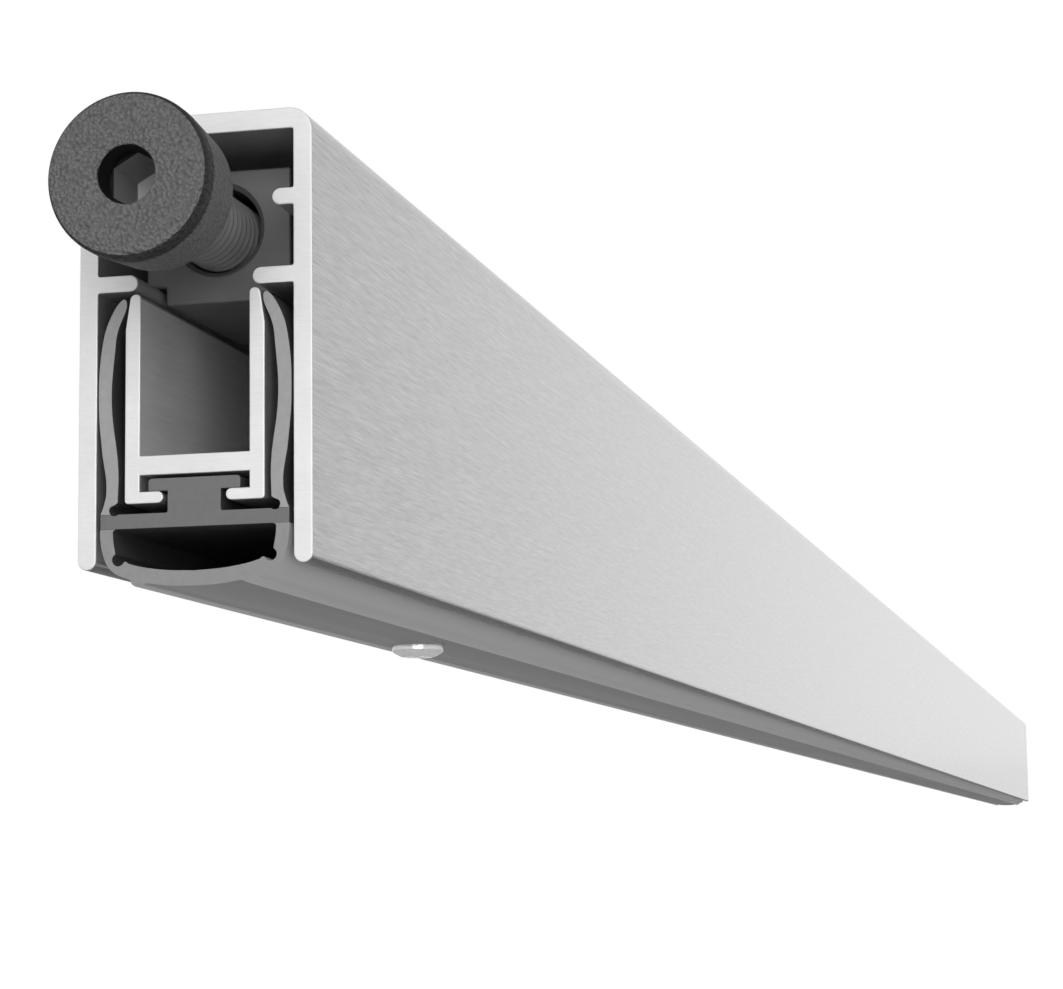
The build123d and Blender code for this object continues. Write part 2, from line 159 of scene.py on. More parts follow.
class PlungerSettings(bpy.types.PropertyGroup):
    """Sizes and colours of the knob and its threaded rod"""

    disc: size("Disc", "Length of the knob's front disc", 1.3 * mm)
    groove: size("Groove", "Width of the groove behind the disc", 0.24 * mm)
    collar: size("Collar radius", "Radius of the collar at its back", 4.55 * mm)
    key_hole: size("Key hole radius", "Radius of the hole in the knob", 1.75 * mm)
    key_size: size("Key size", "Hexagon socket across its flats", 3.0 * mm)
    key_depth: size("Key depth", "Depth of the hexagon socket", 3.8 * mm)
    rod: size("Rod radius", "Outer radius of the rod", 2.42 * mm)
    pitch: size("Pitch", "Pitch of the thread", 0.8 * mm)
    thread_depth: size("Thread depth", "Depth of the thread", 0.3 * mm)
    shank: size("Plain shank", "Length of rod without thread behind the knob", 4.6 * mm)
    grain: size("Grain", "Size of the leather grain on the knob", 0.25 * mm)
    knob_colour: colour("Knob colour", "Black plastic of the knob", (0.175, 0.175, 0.177))
    # Painted shade: a much darker copy of the knob's plastic on the side of its disc
    painted_side_shade_colour: colour("Side shade colour", "Darker side of the knob's disc", (0.04, 0.04, 0.041))
    # Painted shade: near black on the key hole's wall and on the rod's front face at its bottom
    painted_hole_shade_colour: colour("Hole shade colour", "Smooth black inside the key hole", (0.01, 0.01, 0.01))
    rod_colour: colour("Rod colour", "Dull steel of the rod", (0.17, 0.17, 0.174))
    # Painted light: a paler copy of the rod's steel on the walls of the hexagon socket
    painted_socket_light_colour: colour("Socket light colour", "Steel of the hexagon socket", (0.34, 0.34, 0.344))


class GuideSettings(bpy.types.PropertyGroup):
    """Sizes and colour of the guide block"""

    front: size("Front length", "Length of the lower front part", 6.0 * mm)
    front_drop: size("Front drop", "Gap between the front part and the roof", 1.28 * mm)
    tongue_half: size("Tongue half width", "Half the width of the tongue between the ribs", 3.45 * mm)
    hole: size("Hole radius", "Radius of the clearance hole for the rod", 2.74 * mm)
    funnel: size("Funnel radius", "Radius of the slanting mouth of the hole", 3.05 * mm)
    hole_lift: size("Hole lift", "Height of the hole's centre over the rod's", 0.24 * mm)
    edge: size("Edge radius", "Radius of the moulded edges", 0.16 * mm)
    block_colour: colour("Block colour", "Grey plastic of the blocks", (0.125, 0.125, 0.127))


class LockScrewSettings(bpy.types.PropertyGroup):
    """Sizes of the small screw that locks the seal in the carrier"""

    head_radius: size("Head radius", "Radius of the pan head", 2.0 * mm)
    head_height: size("Head height", "Height of the pan head", 1.6 * mm)
    chamfer: size("Chamfer", "Height of the slanting foot of the head", 0.42 * mm)
    shank_radius: size("Shank radius", "Outer radius of the shank", 1.1 * mm)
    wing: size("Wing", "Width of the cross recess's wings", 0.46 * mm)
    reach: size("Reach", "Length across the cross recess", 2.5 * mm)


class SpringSettings(bpy.types.PropertyGroup):
    """Sizes of the leaf springs"""

    thickness: size("Thickness", "Thickness of the spring strip", 0.5 * mm)
    width: size("Width", "Width of the spring strip", 6.0 * mm)
    flat: size("Flat", "Half the length of the flat middle", 8.0 * mm)
    tab: size("Tab", "Length of the flat tab at each end", 10.0 * mm)
    steps: IntProperty(name="Steps", description="Pieces along each bowed part", default=24, min=4)


class MetalSettings(bpy.types.PropertyGroup):
    """Colours of the metals"""

    anodised: colour("Anodised", "Brushed anodised aluminium", (0.28, 0.28, 0.286))
    # Painted light: a much paler copy of the aluminium inside the carrier's channel
    painted_channel_light: colour("Channel light", "Lighter aluminium inside the carrier", (0.74, 0.74, 0.745))
    # Inner: a less metallic copy of the aluminium; painted light inside the housing, paler than the
    # anodised outside, and the darker copy round the carrier
    inner: colour("Inner", "Darker aluminium inside the housing", (0.36, 0.36, 0.366))
    # Painted shade: a near black copy of the aluminium for the undersides of the housing's walls
    painted_shade: colour("Painted shade", "Undersides of the housing's walls", (0.08, 0.08, 0.081))
    sawn: colour("Sawn", "Bright cut ends of the aluminium", (0.78, 0.78, 0.784))
    zinc: colour("Zinc", "Bright zinc plate", (0.78, 0.78, 0.77))
    nickel: colour("Nickel", "Polished plate of the lock screw", (0.85, 0.85, 0.85))
    strip: colour("Strip", "Rolled steel strip", (0.5, 0.5, 0.51))
    spring: colour("Spring", "Polished spring steel", (0.36, 0.35, 0.33))
    rivet: colour("Rivet", "Flush set rivets", (0.62, 0.63, 0.64))


class StageSettings(bpy.types.PropertyGroup):
    """Floor, light and camera"""

    floor: level("Floor height", "Height of the floor", -0.16, unit="LENGTH")
    paper: level("Paper", "Paleness of the floor near the seal, as the camera sees it", 0.25, min=0, max=1)
    sky: level("Sky", "Strength of the light from all round", 0.27, min=0)
    overhead: level("Overhead", "Paleness of the room overhead", 0.4, min=0, max=1)
    key: level("Key", "Power of the soft lamp at the near end", 9.5, min=0)
    sheen: level("Sheen", "Power of the small lamp mirrored by the side", 0.1, min=0)
    lens: level("Lens", "Focal length in millimetres", 92.64, min=1)


# Modelling by hand, in small steps

def clear_selection():
    """Leave nothing selected, because an operator acts on all that is."""
    bpy.ops.object.select_all(action="DESELECT")


def take(piece):
    """Select one piece alone and make it active."""
    clear_selection()
    piece.select_set(True)
    bpy.context.view_layer.objects.active = piece


def edit(piece):
    """Go into edit mode on one piece with all of it selected."""
    take(piece)
    bpy.ops.object.mode_set(mode="EDIT")
    bpy.ops.mesh.select_mode(type="VERT")
    bpy.ops.mesh.select_all(action="SELECT")


def leave():
    """Go back to object mode."""
    bpy.ops.object.mode_set(mode="OBJECT")


def settle():
    """Put the place and turn of the active piece into its mesh."""
    bpy.ops.object.transform_apply(location=True, rotation=True, scale=True)


def lift(piece, step):
    """Move a piece up and put the move into its mesh."""
    piece.location.z = step
    take(piece)
    settle()


def face_outwards():
    """Turn all normals outwards and leave edit mode."""
    bpy.ops.mesh.select_all(action="SELECT")
    bpy.ops.mesh.normals_make_consistent(inside=False)
    leave()


def add_shape(operator, **values):
    """Add a plain shape, with its place and turn put into its mesh."""
    clear_selection()
    operator(**values)
    settle()
    return bpy.context.object


def extrude(step):
    """Extrude what is selected by a step."""
    bpy.ops.mesh.extrude_region_move(TRANSFORM_OT_translate={"value": step})


def weld():
    """Join all points that lie in one place."""
    bpy.ops.mesh.select_all(action="SELECT")
    bpy.ops.mesh.remove_doubles(threshold=tiny)


def draw_line(name, points):
    """Draw a line from point to point by extruding one vertex."""
    clear_selection()
    bpy.ops.mesh.primitive_plane_add(size=mm, location=points[0])
    piece = bpy.context.object
    piece.name = name
    edit(piece)
    bpy.ops.mesh.merge(type="CENTER")
    here = Vector(points[0])
    for point in points[1:]:
        step = Vector(point) - here
        extrude(step)
        here = Vector(point)
    leave()
    settle()
    return piece


def draw_curve(name, points, closed, steps=6):
    """Draw a Bezier line through points, each with whether it is a corner."""
    clear_selection()
    bpy.ops.curve.primitive_bezier_curve_add(location=(0, 0, 0), enter_editmode=True)
    piece = bpy.context.object
    piece.name = name
    bpy.ops.curve.select_all(action="SELECT")
    bpy.ops.curve.delete(type="VERT")
    for place, corner in points:
        bpy.ops.curve.vertex_add(location=place)
        bpy.ops.curve.handle_type_set(type="VECTOR" if corner else "AUTOMATIC")
    if closed:
        bpy.ops.curve.select_all(action="SELECT")
        bpy.ops.curve.cyclic_toggle()
    leave()
    piece.data.resolution_u = steps
    bpy.ops.object.convert(target="MESH")
    return bpy.context.object


def pick(piece, kind, test):
    """In edit mode, select only the vertices, edges or faces that pass the test."""
    bpy.ops.mesh.select_mode(type=kind)
    bpy.ops.mesh.select_all(action="DESELECT")
    mesh = bmesh.from_edit_mesh(piece.data)
    if kind == "VERT":
        found = [vertex for vertex in mesh.verts if test(vertex.co)]
    elif kind == "EDGE":
        found = [edge for edge in mesh.edges if test(edge.verts[0].co, edge.verts[1].co)]
    else:
        found = [face for face in mesh.faces if test(face.calc_center_median(), face.normal)]
    if not found:
        raise RuntimeError(f"nothing to select on {piece.name}, {kind}")
    for part in found:
        part.select_set(True)
    bmesh.update_edit_mesh(piece.data)


def modify(piece, kind, **values):
    """Add a modifier, set it and apply it."""
    take(piece)
    bpy.ops.object.modifier_add(type=kind)
    modifier = piece.modifiers[-1]
    for name, value in values.items():
        setattr(modifier, name, value)
    bpy.ops.object.modifier_apply(modifier=modifier.name)


def mirror(piece):
    """Mirror a half to the other side and join it at the middle."""
    modify(piece, "MIRROR", use_axis=(False, True, False), merge_threshold=tiny)


def fill_and_pull(piece, step):
    """Fill a closed outline and pull it out to a solid."""
    edit(piece)
    weld()
    bpy.ops.mesh.edge_face_add()
    extrude(step)
    face_outwards()


def round_edges(piece, corners):
    """Round the edges that run along the seal at the given places across it."""
    edit(piece)
    for y, z, radius, steps in corners:
        def at_corner(a, b):
            in_place = all(abs(abs(p.y) - y) < tiny and abs(p.z - z) < tiny for p in (a, b))
            return in_place and abs(a.x - b.x) > tiny
        pick(piece, "EDGE", at_corner)
        bpy.ops.mesh.bevel(offset=radius, segments=steps, affect="EDGES", clamp_overlap=True)
    weld()
    leave()


def pull_section(name, section, corners):
    """Draw half a section, mirror it, pull it to length and round its edges."""
    piece = draw_line(name, [(near_end, y, z) for y, z in section])
    mirror(piece)
    fill_and_pull(piece, (length, 0, 0))
    round_edges(piece, corners)
    return piece


def spots(y, z, *steps):
    """Points of a curve at steps in millimetres from a place; one with a third value is a corner."""
    return [((near_end, y + across * mm, z + up * mm), bool(corner)) for across, up, *corner in steps]


def break_rims(piece, width):
    """Break the sharp edges round both cut ends."""
    def at_end(a, b):
        return abs(a.x - b.x) < tiny and (abs(a.x - near_end) < tiny or abs(a.x - far_end) < tiny)
    edit(piece)
    pick(piece, "EDGE", at_end)
    bpy.ops.mesh.bevel(offset=width, segments=2, affect="EDGES", clamp_overlap=True)
    leave()


def turn(piece, centre, direction, steps):
    """Spin an outline once round an axis and close it."""
    edit(piece)
    bpy.ops.mesh.spin(steps=steps, angle=2 * pi, center=centre, axis=direction)
    weld()
    face_outwards()


def round_points(piece, corners):
    """Round an outline in the XZ plane at the given points before it is spun."""
    edit(piece)
    for x, z, radius, steps in corners:
        def at_point(co):
            return abs(co.x - x) < tiny and abs(co.z - z) < tiny
        pick(piece, "VERT", at_point)
        bpy.ops.mesh.bevel(offset=radius, segments=steps, affect="VERTICES")
    leave()


def cut(piece, cutter):
    """Cut one piece with another and delete the cutter."""
    modify(piece, "BOOLEAN", operation="DIFFERENCE", solver="EXACT", object=cutter)
    take(cutter)
    bpy.ops.object.delete()


def cut_with(piece, operator, **values):
    """Add a shape and cut a piece with it."""
    cut(piece, add_shape(operator, **values))


def smooth(piece, angle=32, weighted=True):
    """Shade smooth up to an angle, with large flat faces kept flat."""
    take(piece)
    bpy.ops.object.shade_smooth_by_angle(angle=radians(angle))
    if weighted:
        modify(piece, "WEIGHTED_NORMAL", keep_sharp=True, weight=100)


def dress(piece, *finishes):
    """Give a piece its finishes."""
    piece.data.materials.clear()
    for finish in finishes:
        piece.data.materials.append(bpy.data.materials[finish])


def finish_faces(piece, choose):
    """Give each face the finish that the rule names by its number."""
    for face in piece.data.polygons:
        face.material_index = choose(face.center, face.normal)


def cut_end(normal):
    """Whether a face belongs to a cut end or its rim."""
    return abs(normal.x) > 0.2


def hand_over(piece, body, slot, *nodes):
    """Hang a piece under the body that carries it and hide the CAD parts that it stands for."""
    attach(piece, body)
    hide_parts(*nodes)


# Finishes; the scales of their patterns count waves per metre

def set_inputs(tree, node, inputs):
    """Give a node's inputs their values, or link them to another node's output."""
    for name, value in inputs.items():
        if isinstance(value, bpy.types.NodeSocket):
            tree.links.new(value, node.inputs[name])
        else:
            node.inputs[name].default_value = value


def add_node(tree, kind, inputs):
    """Add a node with its inputs."""
    node = tree.nodes.new("ShaderNode" + kind)
    set_inputs(tree, node, inputs)
    return node


def start_finish(name, base, metallic, rough):
    """Start a material with its shader and the piece's own coordinates."""
    finish = bpy.data.materials.new(name)
    finish.use_nodes = True
    tree = finish.node_tree
    shader = tree.nodes["Principled BSDF"]
    set_inputs(tree, shader, {"Base Color": (*base, 1), "Metallic": metallic, "Roughness": rough})
    finish.diffuse_color = (*base, 1)
    place = tree.nodes.new("ShaderNodeTexCoord")
    return tree, shader, place.outputs["Object"]


def noise(tree, place, scale, detail=2.0, roughness=0.5):
    """A noise pattern."""
    inputs = {"Vector": place, "Scale": scale, "Detail": detail, "Roughness": roughness}
    return add_node(tree, "TexNoise", inputs).outputs["Fac"]


def streaks(tree, place, scale, detail, roughness=0.5, turned=(0, 0, 0)):
    """A noise pattern with its own scale on each axis."""
    mapping = add_node(tree, "Mapping", {"Vector": place, "Scale": scale, "Rotation": turned})
    return noise(tree, mapping.outputs["Vector"], 1.0, detail, roughness)


def cells(tree, place, scale):
    """A pattern of small cells."""
    return add_node(tree, "TexVoronoi", {"Vector": place, "Scale": scale}).outputs["Distance"]


def between(tree, value, low, high, start=0.3, stop=0.7):
    """Turn a pattern into a number between two limits."""
    inputs = {"Value": value, "From Min": start, "From Max": stop, "To Min": low, "To Max": high}
    return add_node(tree, "MapRange", inputs).outputs["Result"]


def add(tree, first, second, how="ADD"):
    """Join two patterns or numbers by a sum."""
    sum_node = add_node(tree, "Math", {0: first, 1: second})
    sum_node.operation = how
    return sum_node.outputs["Value"]


def mix(tree, first, second, share):
    """Mix two patterns, the first by its share and the second by the rest."""
    return add(tree, add(tree, first, share, "MULTIPLY"), add(tree, second, 1 - share, "MULTIPLY"))


def direction(tree, vector, letter):
    """One direction of some coordinates."""
    return add_node(tree, "SeparateXYZ", {"Vector": vector}).outputs[letter]


def shade(tree, shader, value, base, dark, light):
    """Vary the base colour between a darker and a lighter tone of itself."""
    ramp = add_node(tree, "ValToRGB", {"Fac": value})
    for element, position, tone in zip(ramp.color_ramp.elements, (0.3, 0.7), (dark, light)):
        element.position = position
        element.color = (*[min(1.0, part * tone) for part in base], 1)
    set_inputs(tree, shader, {"Base Color": ramp.outputs["Color"]})


def emboss(tree, shader, value, strength, depth):
    """Raise the surface by a pattern."""
    bump = add_node(tree, "Bump", {"Height": value, "Strength": strength, "Distance": depth})
    set_inputs(tree, shader, {"Normal": bump.outputs["Normal"]})


def rough_from(tree, shader, value):
    """Drive the roughness by a pattern."""
    set_inputs(tree, shader, {"Roughness": value})


def extruded_finish(name, base, metallic, oxide, contrast):
    """Satin aluminium with fine lines along the extrusion, under clear oxide where it is anodised."""
    tree, shader, place = start_finish(name, base, metallic, 0.4)
    set_inputs(tree, shader, {"Coat Weight": oxide, "Coat Roughness": 0.22})
    lines = streaks(tree, place, (450, 11500, 11500), 1.0)
    threads = streaks(tree, place, (110, 3600, 3600), 2.0, 0.6)
    both = mix(tree, lines, threads, 0.6)
    shade(tree, shader, both, base, 1 - contrast, 1 + contrast)
    rough_from(tree, shader, between(tree, both, 0.3, 0.5))
    emboss(tree, shader, both, 0.4, 0.012 * mm)


def sawn_finish(name, base):
    """Freshly sawn aluminium with faint saw lines."""
    tree, shader, place = start_finish(name, base, 0.2, 0.42)
    lines = streaks(tree, place, (600, 900, 9000), 2.0, turned=(radians(12), 0, 0))
    clouds = noise(tree, place, 260.0, 2.0)
    shade(tree, shader, mix(tree, lines, clouds, 0.5), base, 0.93, 1.05)
    rough_from(tree, shader, between(tree, lines, 0.38, 0.5))
    emboss(tree, shader, lines, 0.12, 0.01 * mm)


def silicone_finish(name, base):
    """Matt silicone with faint die lines along the extrusion and a dusty bloom."""
    tree, shader, place = start_finish(name, base, 0.0, 0.5)
    lines = streaks(tree, place, (12, 1800, 1800), 3.0)
    dust = noise(tree, place, 2400.0, 3.0, 0.7)
    shade(tree, shader, mix(tree, lines, dust, 0.6), base, 0.92, 1.08)
    rough_from(tree, shader, between(tree, dust, 0.44, 0.58))
    emboss(tree, shader, add(tree, lines, dust), 0.12, 0.015 * mm)


def painted_nib_light_finish(name, base, nib):
    """Silicone skin with painted light on and outside its nibs and painted shade across its belly."""
    tree, shader, place = start_finish(name, base, 0.0, 0.5)
    # Painted light from the nibs outward, painted shade across the belly
    across = add(tree, direction(tree, place, "Y"), 0.0, "ABSOLUTE")
    painted_nib_light = between(tree, across, 0.3, 0.62, nib - 0.6 * mm, nib - 0.3 * mm)
    lines = streaks(tree, place, (12, 1800, 1800), 3.0)
    shade(tree, shader, add(tree, painted_nib_light, between(tree, lines, -0.03, 0.03)), base, 0.5, 1.5)
    rough_from(tree, shader, between(tree, lines, 0.44, 0.58))
    emboss(tree, shader, lines, 0.12, 0.015 * mm)


def grained_finish(name, base, grain):
    """Moulded plastic with a leather grain."""
    tree, shader, place = start_finish(name, base, 0.0, 0.55)
    shader.inputs["Specular IOR Level"].default_value = 0.12
    pebbles = cells(tree, place, 1 / grain)
    creases = noise(tree, place, 1.2 / grain, 2.0, 0.6)
    height = add(tree, add(tree, pebbles, -0.9, "MULTIPLY"), creases)
    shade(tree, shader, add(tree, height, 0.45), base, 0.85, 1.15)
    rough_from(tree, shader, between(tree, creases, 0.45, 0.62))
    emboss(tree, shader, height, 1.0, 0.24 * mm)


def moulded_finish(name, base, gloss):
    """Smooth matt moulded plastic."""
    tree, shader, place = start_finish(name, base, 0.0, 0.5)
    shader.inputs["Specular IOR Level"].default_value = gloss
    clouds = noise(tree, place, 380.0, 3.0)
    specks = noise(tree, place, 7000.0, 2.0)
    shade(tree, shader, clouds, base, 0.94, 1.06)
    rough_from(tree, shader, between(tree, clouds, 0.44, 0.56))
    emboss(tree, shader, specks, 0.12, 0.01 * mm)


def rod_finish(name, base):
    """Dull plated steel with faint marks round the rod."""
    tree, shader, place = start_finish(name, base, 0.3, 0.48)
    rings = streaks(tree, place, (5200, 200, 200), 2.0)
    stains = noise(tree, place, 500.0, 3.0)
    shade(tree, shader, mix(tree, rings, stains, 0.5), base, 0.9, 1.1)
    rough_from(tree, shader, between(tree, stains, 0.42, 0.56))
    emboss(tree, shader, rings, 0.15, 0.01 * mm)


def plated_finish(name, base, metallic, rough):
    """Bright plate with a fine frosting."""
    tree, shader, place = start_finish(name, base, metallic, rough)
    frost = noise(tree, place, 2600.0, 3.0, 0.6)
    shade(tree, shader, frost, base, 0.9, 1.08)
    rough_from(tree, shader, between(tree, frost, rough - 0.06, rough + 0.06))
    emboss(tree, shader, frost, 0.12, 0.01 * mm)


def rolled_finish(name, base, rough):
    """Rolled strip with marks along its length."""
    tree, shader, place = start_finish(name, base, 1.0, rough)
    marks = streaks(tree, place, (40, 2600, 2600), 3.0)
    heat = noise(tree, place, 90.0, 2.0)
    shade(tree, shader, mix(tree, marks, heat, 0.6), base, 0.86, 1.1)
    rough_from(tree, shader, between(tree, marks, rough - 0.06, rough + 0.08))
    emboss(tree, shader, marks, 0.15, 0.01 * mm)


def direct_rays(tree):
    """One for what the camera sees, straight or in a gloss, and nought for light on the object."""
    path = tree.nodes.new("ShaderNodeLightPath")
    glossy = add(tree, path.outputs["Is Camera Ray"], path.outputs["Is Glossy Ray"], "MAXIMUM")
    return add(tree, glossy, path.outputs["Is Transmission Ray"], "MAXIMUM")


class DOORSEAL_OT_finishes(bpy.types.Operator):
    """Make the finishes that all pieces use"""

    bl_idname = "door_seal.finishes"
    bl_label = "Finishes"

    def execute(self, context):
        metal = context.scene.door_seal_metal
        seal = context.scene.door_seal_seal
        plunger = context.scene.door_seal_plunger
        extruded_finish("anodised aluminium", metal.anodised, 0.85, 1.0, 0.7)
        extruded_finish("aluminium with painted light", metal.painted_channel_light, 0.3, 0.0, 0.08)
        extruded_finish("inner aluminium", metal.inner, 0.3, 0.0, 0.08)
        extruded_finish("aluminium with painted shade", metal.painted_shade, 0.3, 0.0, 0.08)
        sawn_finish("sawn aluminium", metal.sawn)
        silicone_finish("silicone core", seal.core_colour)
        silicone_finish("silicone lips", seal.lip_colour)
        silicone_finish("silicone bulb", seal.bulb_colour)
        silicone_finish("silicone with painted shade", seal.painted_skin_shade_colour)
        painted_nib_light_finish("silicone with painted light", seal.painted_nib_light_colour, seal.nib)
        grained_finish("grained black plastic", plunger.knob_colour, plunger.grain)
        grained_finish("grained plastic with painted shade", plunger.painted_side_shade_colour, plunger.grain)
        moulded_finish("smooth plastic with painted shade", plunger.painted_hole_shade_colour, 0.1)
        moulded_finish("grey plastic", context.scene.door_seal_guide.block_colour, 0.5)
        rod_finish("dull steel", plunger.rod_colour)
        rod_finish("steel with painted light", plunger.painted_socket_light_colour)
        plated_finish("zinc plate", metal.zinc, 1.0, 0.24)
        plated_finish("nickel plate", metal.nickel, 0.4, 0.16)
        rolled_finish("strip steel", metal.strip, 0.34)
        rolled_finish("spring steel", metal.spring, 0.26)
        plated_finish("rivet aluminium", metal.rivet, 1.0, 0.24)
        return {"FINISHED"}


class DOORSEAL_OT_housing(bpy.types.Operator):
    """Draw the housing's section, pull it to length, round its edges and sink its rivet holes"""

    bl_idname = "door_seal.housing"
    bl_label = "Housing"

    def execute(self, context):
        sizes = context.scene.door_seal_housing
        half = housing_high.y
        inner = half - sizes.wall
        ceiling = -sizes.roof
        section = [(0, 0), (half, 0), (half, bottom), (inner, bottom)]
        corners = [
            (half, 0, sizes.corner, 10),
            (half, bottom, sizes.wall / 2, 6),
            (inner, bottom, sizes.wall / 2, 6),
            (inner, ceiling, sizes.root, 2),
        ]
        for height, gap in ((sizes.long_rib, sizes.long_gap), (sizes.short_rib, sizes.short_gap)):
            low = bottom + height
            high = low + sizes.rib
            section += [(inner, low), (gap / 2, low), (gap / 2, high), (inner, high)]
            corners += [(gap / 2, low, sizes.rib / 2, 6), (gap / 2, high, sizes.rib / 2, 6)]
            corners += [(inner, low, sizes.root, 2), (inner, high, sizes.root, 2)]
        section += [(inner, ceiling), (0, ceiling)]
        piece = pull_section("housing_extrusion", section, corners)
        break_rims(piece, sizes.rim)
        for name in ("guide", "front", "rear"):
            low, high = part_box(f"roof_rivet_{name}")
            place = ((low.x + high.x) / 2, 0, rivet_hole_middle)
            cut_with(piece, bpy.ops.mesh.primitive_cone_add, vertices=64, radius1=rivet_hole_radius,
                     radius2=rivet_mouth_radius, depth=rivet_hole_depth, location=place)
        smooth(piece)
        dress(piece, "anodised aluminium", "sawn aluminium", "inner aluminium", "aluminium with painted shade")

        def choose(centre, normal):
            if cut_end(normal):
                return 1
            # Painted shade on the undersides of the walls
            if normal.z < -0.4 and centre.z < bottom + sizes.wall:
                return 3
            # Painted light on the faces inside the housing
            return 2 if abs(centre.y) < inner + tiny and centre.z < ceiling + tiny else 0
        finish_faces(piece, choose)
        hand_over(piece, "housing", "anodised_aluminium", "housing")
        return {"FINISHED"}


class DOORSEAL_OT_carrier(bpy.types.Operator):
    """Draw the carrier's section, pull it to length and round its edges"""

    bl_idname = "door_seal.carrier"
    bl_label = "Carrier"

    def execute(self, context):
        sizes = context.scene.door_seal_carrier
        low, high = carrier_low.z, carrier_high.z
        half = carrier_high.y
        inner = half - sizes.wall
        top_half = half - sizes.taper
        hook_top = low + sizes.hook
        web_low = hook_top + sizes.slot
        web_top = web_low + sizes.web
        hook_tip = sizes.hook_gap / 2
        section = [
            (0, web_top),
            (inner, web_top),
            (inner, high),
            (top_half, high),
            (half, high - sizes.taper_height),
            (half, low),
            (hook_tip, low),
            (hook_tip, hook_top),
            (inner, hook_top),
            (inner, web_low),
            (0, web_low),
        ]
        rim = (top_half - inner) * 0.45
        corners = [
            (inner, high, rim, 5),
            (top_half, high, rim, 5),
            (half, low, sizes.corner, 4),
            (hook_tip, low, sizes.hook / 2, 6),
            (hook_tip, hook_top, sizes.hook / 2, 6),
        ]
        piece = pull_section("carrier_extrusion", section, corners)
        break_rims(piece, context.scene.door_seal_housing.rim)
        smooth(piece)
        dress(piece, "aluminium with painted light", "sawn aluminium", "inner aluminium")

        def choose(centre, normal):
            if cut_end(normal):
                return 1
            # Painted light inside the channel above the web; the carrier's other faces get the darker copy
            return 0 if abs(centre.y) < inner + tiny and centre.z > web_top - tiny else 2
        finish_faces(piece, choose)
        hand_over(piece, "carrier", "anodised_aluminium", "carrier")
        return {"FINISHED"}


